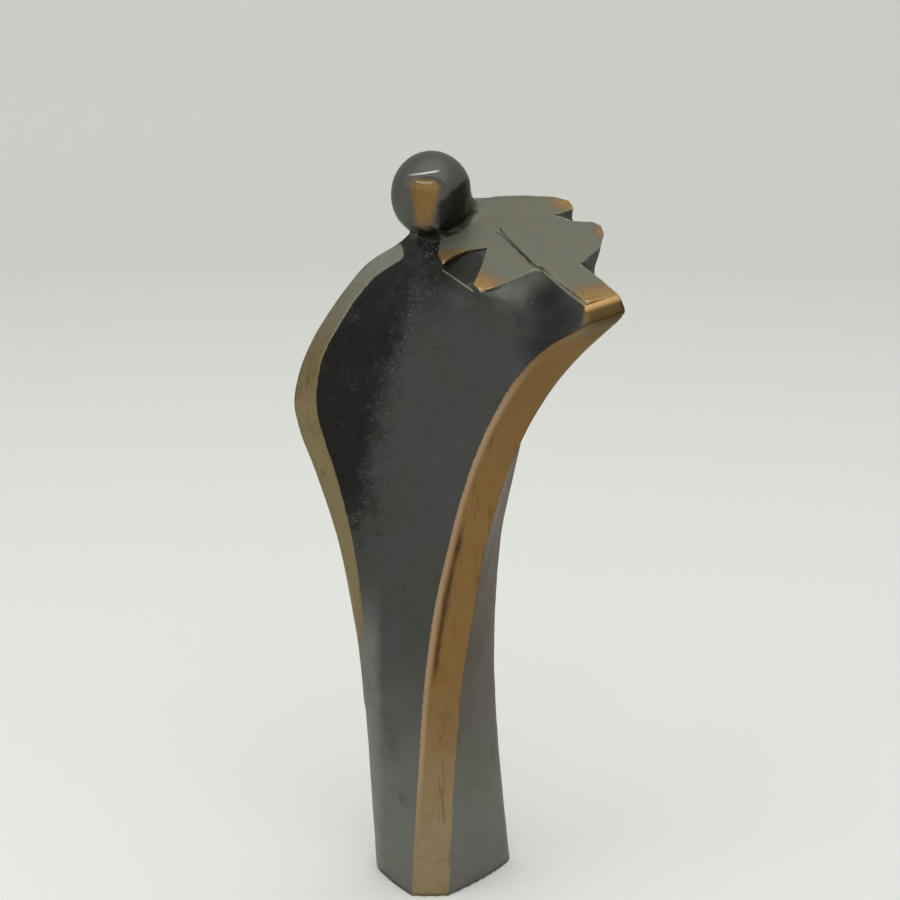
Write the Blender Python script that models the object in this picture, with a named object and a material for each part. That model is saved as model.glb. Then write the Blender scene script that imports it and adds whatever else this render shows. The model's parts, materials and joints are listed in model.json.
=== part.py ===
"""Bronze violinist: a slender abstract figure, cast in one piece and standing on its flat underside.

The body is a three sided, twisting column. Its top is cut by one slanted plane, the plate, whose outline is
the violin: four pointed tips with carved notches between them, and a neck that runs out to a rounded nose. A
ball stands on the plate's left end as the head. Metres, +Z up, the viewer on the -Y side.
"""

import functools
import math

import bmesh
import bpy
import numpy as np
from mathutils import Vector

# Driving sizes
FIGURE_HEIGHT = 0.2395
PLATE_TILT = math.radians(24)
HEAD_RADIUS = 0.0124
NECK_RISE = 0.0007
BRONZE_COLOUR = (0.11, 0.095, 0.075, 1.0)
BRONZE_ROUGHNESS = 0.38

# The free form keeps its pose and carving as shares of its own height: one unit is 1/239.5 of it
UNIT = FIGURE_HEIGHT / 239.5

# The plate plane's height over the axis, and the height where the sections begin to slant
PLATE_LEVEL = 216.3
SLANT_START = 100.0

# Every list of stations below runs from the underside to the plate and is stretched to the plate's level.
# Each long edge of the body: level of its section, then x and y
SHOULDER_BACK_EDGE = [
    (0, -23.7, 8), (30, -24.8, 7), (60, -26.3, 6), (80, -27.7, 5.7), (100, -29.9, 5.3), (120, -33.8, 5),
    (140, -40.0, 5), (152, -44.2, 5), (160, -45.7, 5), (168, -44.4, 5), (180, -39.5, 5), (190, -33.1, 5),
    (198, -27.0, 5), (204, -21.4, 5), (208, -14.6, 5), (211, -10.2, 5), (216.3, -8.8, 5),
]
SHOULDER_FRONT_EDGE = [
    (0, -20.5, 0), (30, -22.3, -0.5), (60, -23.5, -1), (80, -24.3, -1), (100, -25.5, -1), (120, -28.1, -1),
    (140, -32.5, -1.5), (152, -35.9, -1.8), (160, -37.9, -2), (168, -38.0, -2.2), (180, -35.4, -2.7),
    (190, -30.0, -3), (200, -23.2, -3), (206, -17.0, -3), (210, -9.8, -3), (212, -7.9, -3), (216.3, -6.6, -3),
]
BAND_LEFT_EDGE = [
    (0, -9.6, -15.2), (40, -7.4, -15.1), (80, -4.6, -15.3), (100, -2.0, -15.7), (120, 2.1, -16),
    (135, 5.2, -17.4), (150, 9.0, -19), (170, 15.2, -23.2), (190, 22.8, -30), (200, 28.2, -34.2),
    (206, 32.6, -37.0), (211, 37.8, -39.8), (214, 41.0, -40.2), (216.3, 41.2, -36.2),
]
BAND_RIGHT_EDGE = [
    (0, 2.5, -15.2), (40, 4.2, -14.4), (80, 7.4, -13.6), (100, 10.6, -13.3), (120, 13.8, -13),
    (135, 17.3, -13.7), (150, 21.6, -14.6), (170, 29.3, -17.6), (190, 38.9, -24), (200, 44.8, -28.3),
    (206, 48.9, -30.8), (211, 51.8, -33.2), (214, 52.6, -34.0), (216.3, 50.9, -31.2),
]
BACK_RIGHT_CORNER = [
    (0, 28.2, 12), (40, 23.2, 11.5), (80, 20.1, 11), (100, 19.9, 10.5), (120, 21.3, 10.5), (140, 25.3, 10.5),
    (160, 29.4, 11), (180, 34.0, 12.5), (200, 37.4, 13.5), (216.3, 39.8, 14.2),
]

# How far each face bulges out (+) or is hollowed (-) in its middle: level, depth
FRONT_BULGE = [(0, 0.6), (40, 0.0), (100, -2.5), (150, -3.6), (185, -3.2), (205, -1.5), (216.3, 0.0)]
RIGHT_BULGE = [(0, 1.4), (60, 1.0), (120, 0.2), (170, -2.4), (205, -3.6), (216.3, -3.0)]
BACK_BULGE = [(0, 6.0), (80, 6.5), (160, 7.5), (200, 5.0), (216.3, 4.0)]
BAND_CROWN = 0.35

# The shoulder band is a round corner low down and flat above: its bulge low and high, where it starts to turn
# flat and how far up that takes
SHOULDER_ROUND = 1.6
SHOULDER_CROWN = 0.25
SHOULDER_TURN = (50.0, 60.0)

# Where the front's edges start to turn crisp and how far up that takes; how often the corners are averaged
CRISP_TURN = (40.0, 60.0)
CORNER_PASSES = 4

# Roundness of the back right corner: level, then its reach into the right face and into the back
CORNER_REACH = [(0, 6.5, 5.5), (100, 4.0, 4.0), (170, 2.6, 3.0), (216.3, 3.0, 4.0)]

# The violin's outline on the plate, tip by tip: x, y
CHIN_NOTCH = [(-4.6, -4.6), (-2.2, -5.4), (0.2, -5.8), (-0.1, -9.2)]
LEFT_UPPER_TIP = [(-0.3, -13.0), (0.9, -15.9)]
LEFT_UPPER_NOTCH = [(7.6, -10.2), (13.9, -9.0), (12.2, -17.6)]
LEFT_LOWER_TIP = [(9.7, -26.2), (11.4, -28.7), (14.6, -28.3)]
LEFT_WAIST_NOTCH = [(18.6, -25.6), (23.4, -22.2), (27.6, -18.8), (29.6, -19.4), (32.8, -24.6), (36.4, -30.0)]
RIGHT_WAIST_NOTCH = [(46.8, -24.8), (40.8, -16.4), (43.8, -12.2)]
RIGHT_WAIST_RIM = [(47.0, -24.8), (43.4, -18.2), (44.6, -12.4)]
RIGHT_LOWER_TIP = [(47.4, -8.4), (49.0, -2.2), (48.4, 2.4), (46.0, 4.2)]
RIGHT_UPPER_NOTCH = [(40.2, 4.6), (34.9, 8.0), (37.6, 9.6)]
RIGHT_UPPER_TIP = [(40.9, 11.4), (39.6, 15.2), (35.2, 17.4)]
PLATE_BACK = [(24.7, 18.2), (13.2, 17.4), (2.0, 16.8), (-6.4, 12.6)]

# How deep each notch runs below the plate. The first left one has a flat floor, given at its inner point and
# at its lip, and is cut with a wedge that runs on past the lip and rises over the plate
LEFT_UPPER_DEPTH = (0.25, 2.4)
WEDGE_OVERRUN = 9.0
WEDGE_RISE = 3.0
LEFT_WAIST_DEPTH = [2.6, 5.0, 8.0, 11.5, 15.0, 17.0]
RIGHT_WAIST_DEPTH = [3.5, 4.0, 2.6]
RIGHT_UPPER_DEPTH = [4.5, 5.0, 4.5]
TIP_DEPTH = 1.6
NOSE_DEPTH = 9.0

# How sharply each notch turns in at its lip, from 1 for a plain slope to 2 for a full scoop
NOTCH_HOLLOW = 2.0
LEFT_WAIST_HOLLOW = [1.7, 1.6, 1.5, 1.35, 1.2, 1.1]

# How the violin's outline swells out of the body below it, on the left and on the right
FLARE_DEPTH = (30.0, 22.0)
FLARE_POWER = (2.2, 2.6)

# Rows of the surface: up the body, closer together towards the notches, then through the notches
BODY_ROWS = 70
ROW_EASE = 0.8
NOTCH_ROWS = 6

# Columns between the ends of the shoulder band, of the first left notch's lip, of the nose and of each part
# of the back; the least share of a face's width that a column keeps from the face's ends
SHOULDER_STEPS = 1
LIP_STEPS = 3
BAND_STEPS = 2
BACK_STEPS = 2
END_SHARE = 0.02

# The head: its centre's place and height over the plate's level, its flat cut face, its web into the plate
HEAD_PLACE = (-2.5, 4.0)
HEAD_LIFT = 10.1
HEAD_STRETCH = 1.045
HEAD_SEGMENTS = (28, 18)
FACE_DIRECTION = (-0.07, -0.98, -0.17)
FACE_INSET = 0.76
WEB_DIRECTION = math.radians(58)
WEB_WIDTH = math.radians(44)
WEB_HEIGHT = 14.0
WEB_REACH = 12.0
WEB_BACK = 16.8

# The violin's neck and fingerboard, a low strip on the plate, raised on its left and sinking in on its right
NECK_LEFT = [(15.8, 2.9), (27.9, -18.4), (30.1, -19.7)]
NECK_RIGHT = [(40.3, -16.6), (31.9, 8.3)]
NECK_INSET = 0.04
NECK_SINK = 0.25


def smooth_step(x):
    """Eases from 0 to 1 as x goes from 0 to 1."""
    x = np.clip(x, 0.0, 1.0)
    return x * x * (3.0 - 2.0 * x)


def along(stations, level):
    """Reads a station list at a level, on a smooth curve through its points."""
    table = np.array(stations, float)
    levels = table[:, 0] * PLATE_LEVEL / table[-1, 0]
    values = table[:, 1:]
    slopes = np.gradient(values, levels, axis=0, edge_order=1)
    i = int(np.clip(np.searchsorted(levels, level) - 1, 0, len(levels) - 2))
    span = levels[i + 1] - levels[i]
    t = (level - levels[i]) / span
    start = (2 * t ** 3 - 3 * t ** 2 + 1) * values[i] + (t ** 3 - 2 * t ** 2 + t) * span * slopes[i]
    end = (3 * t ** 2 - 2 * t ** 3) * values[i + 1] + (t ** 3 - t ** 2) * span * slopes[i + 1]
    return start + end


def slant(level):
    """Rise of a section for each unit towards the back: none low down, the plate's tilt at the top."""
    ease = smooth_step((level - SLANT_START) / (PLATE_LEVEL - SLANT_START))
    return math.tan(PLATE_TILT) * float(ease)


def outward(start, end):
    """The outward side of a face that runs from start to end, seen from above, with the body on its left."""
    run = end - start
    return np.array([run[1], -run[0]]) / np.linalg.norm(run)


def face_points(start, end, shares, bulge):
    """Points on one face at the given shares of its width, arched by the bulge."""
    side = outward(start, end)
    shares = np.asarray(shares)[:, None]
    return start + (end - start) * shares + side * bulge * 4 * shares * (1 - shares)


class Columns:
    """The points round one row, in order, with what each does on the plate."""

    def __init__(self):
        self.plate = []
        self.hull = []
        self.depth = []
        self.hollow = []
        self.right_side = set()

    def add(self, points, hull=None, depths=None, hollows=None):
        for i, point in enumerate(points):
            self.plate.append(point)
            self.hull.append(point if hull is None else hull[i])
            self.depth.append(TIP_DEPTH if depths is None else depths[i])
            self.hollow.append(1.0 if hull is None else NOTCH_HOLLOW if hollows is None else hollows[i])
        return range(len(self.plate) - len(points), len(self.plate))


def between(start, end, count):
    """Evenly spaced points strictly between two points."""
    steps = np.arange(1, count + 1)[:, None] / (count + 1)
    return list(np.array(start) + (np.array(end) - np.array(start)) * steps)


def lay_out_columns():
    """Puts the plate's outline in order, from the shoulder band round the front, the right and the back."""
    shoulder_back = along(SHOULDER_BACK_EDGE, PLATE_LEVEL)
    shoulder_front = along(SHOULDER_FRONT_EDGE, PLATE_LEVEL)
    nose_left = along(BAND_LEFT_EDGE, PLATE_LEVEL)
    nose_right = along(BAND_RIGHT_EDGE, PLATE_LEVEL)
    columns = Columns()
    sections = {}
    shoulder = [shoulder_back] + between(shoulder_back, shoulder_front, SHOULDER_STEPS) + [shoulder_front]
    sections["shoulder"] = columns.add(shoulder)
    first = columns.add(CHIN_NOTCH)
    columns.add(LEFT_UPPER_TIP)
    columns.add(between(LEFT_UPPER_TIP[-1], LEFT_LOWER_TIP[0], LIP_STEPS))
    columns.add(LEFT_LOWER_TIP)
    waist_hull = between(LEFT_LOWER_TIP[-1], nose_left, len(LEFT_WAIST_NOTCH))
    last = columns.add(LEFT_WAIST_NOTCH, waist_hull, LEFT_WAIST_DEPTH, LEFT_WAIST_HOLLOW)
    sections["front"] = range(first[0], last[-1] + 1)
    band = [nose_left] + between(nose_left, nose_right, BAND_STEPS) + [nose_right]
    sections["band"] = columns.add(band, None, [NOSE_DEPTH] * len(band))
    first = columns.add(RIGHT_WAIST_NOTCH, RIGHT_WAIST_RIM, RIGHT_WAIST_DEPTH)
    columns.add(RIGHT_LOWER_TIP)
    upper_hull = between(RIGHT_LOWER_TIP[-1], RIGHT_UPPER_TIP[0], len(RIGHT_UPPER_NOTCH))
    last = columns.add(RIGHT_UPPER_NOTCH, upper_hull, RIGHT_UPPER_DEPTH)
    sections["right"] = range(first[0], last[-1] + 1)
    sections["corner"] = columns.add(RIGHT_UPPER_TIP)
    back = []
    stops = [RIGHT_UPPER_TIP[-1]] + PLATE_BACK + [shoulder_back]
    for start, end in zip(stops, stops[1:]):
        back += between(start, end, BACK_STEPS) + [end]
    sections["back"] = columns.add(back[:-1])
    columns.plate = np.array(columns.plate, float)
    columns.hull = np.array(columns.hull, float)
    columns.depth = np.array(columns.depth, float)
    columns.right_side = set(sections["right"]) | set(sections["corner"])
    return columns, sections


def shares_on(hull, indices, start, end):
    """Where the columns of a face stand along the straight line between its two ends."""
    run = end - start
    return np.clip((hull[list(indices)] - start) @ run / (run @ run), END_SHARE, 1 - END_SHARE)


def right_corner(edges, level):
    """The back right corner at a level: where it starts, its rounded middle and where the back begins."""
    reach_front, reach_back = along(CORNER_REACH, level)
    corner = edges["corner"]
    to_front = edges["band_right"] - corner
    to_back = edges["shoulder_back"] - corner
    start = corner + to_front / np.linalg.norm(to_front) * reach_front
    end = corner + to_back / np.linalg.norm(to_back) * reach_back
    return [start, (start + end + 2 * corner) / 4, end]


def shoulder_bulge(level):
    """The shoulder band is flat above and runs out into a round corner below."""
    flat_from, over = SHOULDER_TURN
    flat = float(smooth_step((level - flat_from) / over))
    return SHOULDER_ROUND * (1 - flat) + SHOULDER_CROWN


def body_points(level, columns, sections):
    """The body's own outline at a level, without the violin."""
    top = {name: along(edge, PLATE_LEVEL) for name, edge in EDGES.items()}
    here = {name: along(edge, level) for name, edge in EDGES.items()}
    points = np.zeros((len(columns.plate), 2))
    corner = right_corner(here, level)
    top_corner = right_corner(top, PLATE_LEVEL)

    def fill(name, start, end, shares, bulge):
        points[list(sections[name])] = face_points(start, end, shares, bulge)

    shares = np.linspace(0, 1, len(sections["shoulder"]))
    fill("shoulder", here["shoulder_back"], here["shoulder_front"], shares, shoulder_bulge(level))
    shares = shares_on(columns.hull, sections["front"], top["shoulder_front"], top["band_left"])
    fill("front", here["shoulder_front"], here["band_left"], shares, along(FRONT_BULGE, level)[0])
    shares = np.linspace(0, 1, len(sections["band"]))
    fill("band", here["band_left"], here["band_right"], shares, BAND_CROWN)
    shares = shares_on(columns.hull, sections["right"], top["band_right"], top_corner[0])
    fill("right", here["band_right"], corner[0], shares, along(RIGHT_BULGE, level)[0])
    points[list(sections["corner"])] = corner
    count = len(sections["back"])
    shares = np.arange(1, count + 1) / (count + 1)
    fill("back", corner[-1], here["shoulder_back"], shares, along(BACK_BULGE, level)[0])
    return points


def ease_corners(points, level, sections):
    """Rounds the back corners by averaging neighbours; the crisp edges of the bands stay where they are."""
    pinned = np.zeros(len(points))
    pinned[list(sections["band"])] = 1.0
    crisp_from, over = CRISP_TURN
    crisp = float(smooth_step((level - crisp_from) / over))
    pinned[list(sections["shoulder"])] = crisp
    pinned[list(sections["front"])] = np.maximum(pinned[list(sections["front"])], crisp)
    eased = points.copy()
    for _ in range(CORNER_PASSES):
        mean = (np.roll(eased, 1, axis=0) + np.roll(eased, -1, axis=0) + 2 * eased) / 4
        eased = eased + (mean - eased) * (1 - pinned)[:, None]
    return eased


def surface_point(index, level, row, top_row, columns):
    """One column's point at a level: the body, flared out to the violin and cut back by its notch."""
    below = PLATE_LEVEL - level
    side = 1 if index in columns.right_side else 0
    flare = max(0.0, 1 - below / FLARE_DEPTH[side]) ** FLARE_POWER[side]
    notch = max(0.0, 1 - below / columns.depth[index]) ** (1 / columns.hollow[index])
    x, y = row[index] + (columns.hull[index] - top_row[index]) * flare
    x, y = (x, y) + (columns.plate[index] - columns.hull[index]) * notch
    return Vector((x, y, level + y * slant(level))) * UNIT


EDGES = {
    "shoulder_back": SHOULDER_BACK_EDGE,
    "shoulder_front": SHOULDER_FRONT_EDGE,
    "band_left": BAND_LEFT_EDGE,
    "band_right": BAND_RIGHT_EDGE,
    "corner": BACK_RIGHT_CORNER,
}


def build_body():
    """Lofts the body from the flat underside to the plate."""
    columns, sections = lay_out_columns()
    count = len(columns.plate)

    @functools.lru_cache(maxsize=None)
    def section(level):
        return ease_corners(body_points(level, columns, sections), level, sections)

    top_row = section(PLATE_LEVEL)
    mesh = bmesh.new()
    rows = []
    shares = [i / BODY_ROWS for i in range(BODY_ROWS + 1)]
    shares += [1 + (i + 1) / NOTCH_ROWS for i in range(NOTCH_ROWS)]
    for share in shares:
        ring = []
        for index in range(count):
            foot = PLATE_LEVEL - columns.depth[index]
            in_notch = max(0.0, share - 1) ** columns.hollow[index]
            level = foot * min(share, 1.0) ** ROW_EASE + columns.depth[index] * in_notch
            ring.append(mesh.verts.new(surface_point(index, level, section(level), top_row, columns)))
        rows.append(ring)
    for lower, upper in zip(rows, rows[1:]):
        for i in range(count):
            j = (i + 1) % count
            mesh.faces.new((lower[i], lower[j], upper[j], upper[i]))
    mesh.faces.new(list(reversed(rows[0])))
    mesh.faces.new(rows[-1])
    return mesh


def build_head():
    """A ball with a flat cut for a face, whose back right side runs out into the plate."""
    mesh = bmesh.new()
    around, down = HEAD_SEGMENTS
    bmesh.ops.create_uvsphere(mesh, u_segments=around, v_segments=down, radius=HEAD_RADIUS)
    normal = Vector(FACE_DIRECTION).normalized()
    everything = mesh.verts[:] + mesh.edges[:] + mesh.faces[:]
    cut = bmesh.ops.bisect_plane(
        mesh, geom=everything, plane_co=normal * FACE_INSET * HEAD_RADIUS, plane_no=normal, clear_outer=True)
    rim = [item for item in cut["geom_cut"] if isinstance(item, bmesh.types.BMEdge)]
    bmesh.ops.contextual_create(mesh, geom=rim)
    for vert in mesh.verts:
        vert.co.z *= HEAD_STRETCH
    centre = Vector((*HEAD_PLACE, PLATE_LEVEL + HEAD_LIFT)) * UNIT
    up = Vector((0, -math.sin(PLATE_TILT), math.cos(PLATE_TILT)))
    for vert in mesh.verts:
        vert.co += centre
        over = (vert.co - Vector((0, 0, PLATE_LEVEL * UNIT))).dot(up) / UNIT
        offset = vert.co - centre
        turn = abs(math.atan2(offset.y, offset.x) - WEB_DIRECTION) / WEB_WIDTH
        side = math.cos(min(turn, 1.0) * math.pi / 2)
        rise = min(1.0, max(0.0, 1 - over / WEB_HEIGHT)) ** 2
        push = Vector((offset.x, offset.y, 0))
        vert.co += push / HEAD_RADIUS * WEB_REACH * UNIT * side * rise
        vert.co.y = min(vert.co.y, WEB_BACK * UNIT)
    return mesh


def build_neck():
    """The violin's neck, a thin slab half sunk into the plate and tilted down on its right."""
    nose_left = along(BAND_LEFT_EDGE, PLATE_LEVEL)
    nose_right = along(BAND_RIGHT_EDGE, PLATE_LEVEL)
    across = (nose_right - nose_left) * NECK_INSET
    back = np.array([across[1], -across[0]])
    outline = NECK_LEFT + [tuple(nose_left + across - back), tuple(nose_right - across - back)] + NECK_RIGHT
    left = len(NECK_LEFT) + 1
    heights = [NECK_RISE] * left + [-NECK_SINK * UNIT] * (len(outline) - left)
    return build_slab(outline, [-NECK_RISE] * len(outline), heights)


def build_slab(outline, low, high):
    """A slab over an outline on the plate, with a lowest and a highest level over it at each point."""
    mesh = bmesh.new()
    up = Vector((0, -math.sin(PLATE_TILT), math.cos(PLATE_TILT)))
    rings = []
    for heights in (low, high):
        ring = []
        for (x, y), height in zip(outline, heights):
            on_plate = Vector((x, y, PLATE_LEVEL + y * math.tan(PLATE_TILT))) * UNIT
            ring.append(mesh.verts.new(on_plate + up * height))
        rings.append(ring)
    bottom, top = rings
    mesh.faces.new(list(reversed(bottom)))
    mesh.faces.new(top)
    for i in range(len(outline)):
        j = (i + 1) % len(outline)
        mesh.faces.new((bottom[i], bottom[j], top[j], top[i]))
    return mesh


def build_notch_wedge():
    """The wedge that cuts the first left notch: its floor dips evenly from the inner point to the lip."""
    lip_start = np.array(LEFT_UPPER_TIP[-1])
    lip_end = np.array(LEFT_LOWER_TIP[0])
    side = outward(lip_start, lip_end)
    inner = [np.array(point) for point in LEFT_UPPER_NOTCH]
    start = lip_start + (lip_start - inner[0]) / np.linalg.norm(lip_start - inner[0]) * WEDGE_OVERRUN
    end = lip_end + (lip_end - inner[-1]) / np.linalg.norm(lip_end - inner[-1]) * WEDGE_OVERRUN
    outline = [start] + inner + [end]
    deepest = min((point - lip_start) @ side for point in inner)
    shallow, deep = LEFT_UPPER_DEPTH
    depths = [shallow + (deep - shallow) * (1 - (point - lip_start) @ side / deepest) for point in outline]
    return build_slab(outline, [-depth * UNIT for depth in depths], [WEDGE_RISE * UNIT] * len(outline))


def make_material():
    """Dark patinated bronze."""
    material = bpy.data.materials.new("patinated_bronze")
    material.use_nodes = True
    shader = material.node_tree.nodes["Principled BSDF"]
    shader.inputs["Base Color"].default_value = BRONZE_COLOUR
    shader.inputs["Roughness"].default_value = BRONZE_ROUGHNESS
    shader.inputs["Metallic"].default_value = 1.0
    return material


def make_object(name, mesh, collection):
    """Turns the mesh into a named object with its faces pointing out."""
    bmesh.ops.recalc_face_normals(mesh, faces=mesh.faces)
    data = bpy.data.meshes.new(name)
    mesh.to_mesh(data)
    mesh.free()
    data.shade_smooth()
    data.set_sharp_from_angle(angle=math.radians(32))
    thing = bpy.data.objects.new(name, data)
    collection.objects.link(thing)
    return thing


def combine(body, tool, operation):
    """Fuses a tool solid with the body, or cuts it away."""
    tool.hide_render = True
    tool.display_type = "WIRE"
    step = body.modifiers.new(tool.name, "BOOLEAN")
    step.operation = operation
    step.solver = "EXACT"
    step.object = tool


def main():
    for thing in list(bpy.data.objects):
        bpy.data.objects.remove(thing, do_unlink=True)
    parts = bpy.data.collections.new("bronze_violinist")
    tools = bpy.data.collections.new("bronze_violinist_tools")
    bpy.context.scene.collection.children.link(parts)
    bpy.context.scene.collection.children.link(tools)
    body = make_object("violinist_casting", build_body(), parts)
    body.data.materials.append(make_material())
    combine(body, make_object("notch_tool", build_notch_wedge(), tools), "DIFFERENCE")
    combine(body, make_object("head_tool", build_head(), tools), "UNION")
    combine(body, make_object("neck_tool", build_neck(), tools), "UNION")


main()
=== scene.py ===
# Bronze violinist: the casting refined, its dark patina and ground golden edges, on a pale studio floor
import json
import math
from functools import reduce
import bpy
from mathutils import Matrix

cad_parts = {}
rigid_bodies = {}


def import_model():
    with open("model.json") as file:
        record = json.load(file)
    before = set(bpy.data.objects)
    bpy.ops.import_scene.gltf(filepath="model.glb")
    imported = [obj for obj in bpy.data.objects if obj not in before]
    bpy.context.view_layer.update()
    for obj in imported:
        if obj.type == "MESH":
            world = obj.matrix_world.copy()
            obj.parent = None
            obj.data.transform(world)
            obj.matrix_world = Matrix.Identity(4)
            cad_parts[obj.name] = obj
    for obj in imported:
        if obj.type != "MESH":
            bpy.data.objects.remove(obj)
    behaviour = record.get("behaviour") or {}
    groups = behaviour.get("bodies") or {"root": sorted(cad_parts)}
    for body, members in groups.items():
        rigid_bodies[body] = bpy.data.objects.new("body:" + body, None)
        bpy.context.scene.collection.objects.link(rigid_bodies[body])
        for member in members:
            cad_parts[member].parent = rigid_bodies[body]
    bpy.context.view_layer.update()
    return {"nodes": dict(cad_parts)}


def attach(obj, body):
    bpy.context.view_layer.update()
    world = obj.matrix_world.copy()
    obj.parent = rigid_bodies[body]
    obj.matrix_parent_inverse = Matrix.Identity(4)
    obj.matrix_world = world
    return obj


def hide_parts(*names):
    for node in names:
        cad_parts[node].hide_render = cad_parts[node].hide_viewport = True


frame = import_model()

from types import SimpleNamespace

import bmesh
import bpy
import numpy as np
from mathutils import Vector

mm = 0.001      # a length that is multiplied by mm is in metres, and any other one of the casting is in millimetres


# Selecting in edit mode

def deselectAll():
    if bpy.context.object and bpy.context.object.mode != "OBJECT":
        bpy.ops.object.mode_set(mode="OBJECT")
    bpy.ops.object.select_all(action="DESELECT")


def makeActive(piece):
    deselectAll()
    piece.select_set(True)
    bpy.context.view_layer.objects.active = piece


def pick(piece, kind, wanted):
    # selects the verts, edges or faces that pass a test, and says how many they are
    bpy.ops.mesh.select_mode(type=kind)
    bpy.ops.mesh.select_all(action="DESELECT")
    mesh = bmesh.from_edit_mesh(piece.data)
    found = 0
    for item in {"VERT": mesh.verts, "EDGE": mesh.edges, "FACE": mesh.faces}[kind]:
        if wanted(item):
            item.select_set(True)
            found += 1
    bmesh.update_edit_mesh(piece.data)
    return found


def pickNearest(piece, place):
    # selects the one face whose middle is nearest to a place
    mesh = bmesh.from_edit_mesh(piece.data)
    nearest = min(mesh.faces, key=lambda face: (face.calc_center_median() - place).length)
    wantedIndex = nearest.index
    return pick(piece, "FACE", lambda face: face.index == wantedIndex)


def pickSharp(piece, angle):
    return pick(piece, "EDGE", lambda edge: edge.is_manifold and edge.calc_face_angle() > angle)


# The casting

plate = {
    "tilt": math.radians(24),      # the violin's plane leans towards the viewer
    "level": 216.3 * mm,           # its height over the axis
    "gridMiddle": (20, -5),        # x and y
    "gridReach": (34 * mm, 40 * mm),
    "gridStep": 2.4 * mm,
    "flatWithin": math.radians(10),
    "flatReach": 3.2 * mm,         # how far over or under the plane its carved floors and low strip lie
}
plateUp = Vector((0, -math.sin(plate["tilt"]), math.cos(plate["tilt"])))
plateAlong = Vector((0, math.cos(plate["tilt"]), math.sin(plate["tilt"])))


def onPlate(x, y):
    # the point of the violin's plane over x and y
    return Vector((x * mm, y * mm, plate["level"] + y * mm * math.tan(plate["tilt"])))


def overPlate(place):
    return (place - onPlate(0, 0)).dot(plateUp)


head = {
    "middle": (-2.5, 4, 226.4),
    "reach": 14,
    "over": 1,                     # how far over the violin's plane it starts
    "brow": 229.0,                 # over this height the face's edge stays crisp
    "faceTurn": (-0.07, -0.98, -0.17),
    "faceWithin": math.radians(1.5),
    "gridReach": (10 * mm, 12 * mm),
    "gridStep": 2.2 * mm,
}
headMiddle = Vector(head["middle"]) * mm


def onHead(place):
    return (place - headMiddle).length < head["reach"] * mm and overPlate(place) > head["over"] * mm


casting = {
    "node": "violinist_casting",
    "slot": "patinated_bronze",
    "mergeWithin": 0.02 * mm,
    "dissolveWithin": math.radians(0.5),
    "cutWithin": 0.01 * mm,
    "quadFaces": math.radians(35),         # how bent and how skewed a pair of triangles may be to make one face
    "quadShapes": math.radians(50),
    "sharpFrom": math.radians(26),
    "rimSharpFrom": math.radians(8),       # round the violin's plane
    "rimWithin": 0.03 * mm,
    "crispCrease": 0.72,
    "levels": 2,
}

# each ground band spreads from one face to the edges round it, between two heights
bands = {
    "strip": {"seed": (4.3, -14.6, 100), "from": -1 * mm, "to": 220 * mm, "edge": math.radians(26)},
    "shoulder": {"seed": (-41.8, 1.6, 160), "from": 70 * mm, "to": 214 * mm, "edge": math.radians(12)},
}

# places where hand work has run the forms into each other, and how often they are smoothed
softSpots = [
    {"middle": (26, -27, 196), "reach": 15, "times": 8},                # hollow under the violin's waist
    {"middle": (-4, -7, 206), "reach": 9, "times": 3},                  # under the chin
    {"middle": (11, 13, 223), "reach": 7, "times": 10, "rim": 0},       # the head's run into the violin
    {"middle": (10, 1, 221), "reach": 9.5, "times": 10, "rim": 0},      # and its right foot
    {"middle": (-2, -12, 222), "reach": 12, "times": 5},                # the face's lower edge
    {"middle": (5, -6, 225), "reach": 9, "times": 4},                   # and its right one
    {"middle": (-10, -7, 225), "reach": 8, "times": 4},                 # and its left one
]
softening = {
    "factor": 0.5,
    "rim": 0.4 * mm,               # how near to the violin's plane nothing is smoothed, if the spot doesn't say
}


def copyCasting():
    print("stage: copy of the casting")
    node = frame["nodes"][casting["node"]]
    piece = bpy.data.objects.new("cast_violinist", node.data.copy())
    bpy.context.scene.collection.objects.link(piece)
    piece.data.materials.clear()
    makeActive(piece)
    if piece.data.has_custom_normals:
        bpy.ops.mesh.customdata_custom_splitnormals_clear()
    bpy.ops.object.mode_set(mode="EDIT")
    bpy.ops.mesh.select_all(action="SELECT")
    bpy.ops.mesh.remove_doubles(threshold=casting["mergeWithin"])
    bpy.ops.mesh.normals_make_consistent(inside=False)
    return piece


def squareUp(piece):
    # the violin's plane, the face and the underside lose their long thin triangles, the first two are cut into
    # even grids, and the rest turns into four sided faces
    print("stage: faces")
    flat = math.cos(plate["flatWithin"])
    faceTurn = Vector(head["faceTurn"]).normalized()
    faceFlat = math.cos(head["faceWithin"])

    def isTop(face):
        return face.normal.dot(plateUp) > flat and abs(overPlate(face.calc_center_median())) < plate["flatReach"]

    def isFace(face):
        return face.normal.dot(faceTurn) > faceFlat and onHead(face.calc_center_median())

    def isUnder(face):
        return face.normal.z < -flat

    for isFlat in (isTop, isFace, isUnder):
        print("flat faces", pick(piece, "FACE", isFlat))
        bpy.ops.mesh.dissolve_limited(angle_limit=casting["dissolveWithin"])
    side, up = Vector((1, 0, 0)), Vector((0, 0, 1))
    grids = [
        (isTop, onPlate(*plate["gridMiddle"]), (side, plateAlong), plate),
        (isFace, headMiddle, (side, up), head),
    ]
    for isFlat, middle, directions, sizes in grids:
        step = sizes["gridStep"]
        for direction, reach in zip(directions, sizes["gridReach"]):
            for i in range(-int(reach / step), int(reach / step) + 1):
                pick(piece, "FACE", isFlat)
                bpy.ops.mesh.bisect(plane_co=middle + direction * step * i, plane_no=direction,
                                    threshold=casting["cutWithin"])
    pick(piece, "FACE", lambda face: face.normal.z > -flat and len(face.verts) == 3)
    bpy.ops.mesh.tris_convert_to_quads(face_threshold=casting["quadFaces"], shape_threshold=casting["quadShapes"])


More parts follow.
